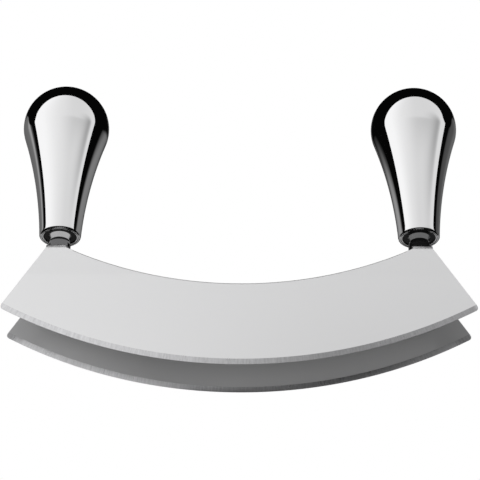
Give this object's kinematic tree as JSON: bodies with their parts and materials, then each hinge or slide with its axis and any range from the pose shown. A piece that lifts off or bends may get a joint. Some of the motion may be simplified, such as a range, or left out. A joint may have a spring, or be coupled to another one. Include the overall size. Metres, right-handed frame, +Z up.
{
  "type": "mezzaluna",
  "caption": "Double-bladed rocking chopper: two steel crescents side by side, joined at each end under an upright hollow knob handle.",
  "frame": {"origin": "lowest point of the cutting edges, midway between the two blades and between the two handles", "axes": "+X along the blades towards the right handle as pictured, +Y from the front blade to the rear blade, +Z up along the handles"},
  "size_m": [0.2148, 0.0412, 0.1547],
  "materials": {
    "blade_steel": "fine satin grind along the blade, coarser ground cutting edge",
    "polished_steel": "mirror polish",
    "cap_steel": "darkened satin floor with a bright lip",
    "neck_steel": "dark burnished, fine turned lines",
    "collar_steel": "fine turned satin",
    "fastener_steel": "plain bright"
  },
  "bodies": {
    "root": {"front_blade": "blade_steel", "rear_blade": "blade_steel", "left_handle_shell": "polished_steel", "left_base_cap": "cap_steel", "left_ferrule": "collar_steel", "left_neck_post": "neck_steel", "left_clamp_washer": "fastener_steel", "left_lock_washer": "fastener_steel", "left_tie_screw": "fastener_steel", "right_handle_shell": "polished_steel", "right_base_cap": "cap_steel", "right_ferrule": "collar_steel", "right_neck_post": "neck_steel", "right_clamp_washer": "fastener_steel", "right_lock_washer": "fastener_steel", "right_tie_screw": "fastener_steel"}
  },
  "joints": []
}
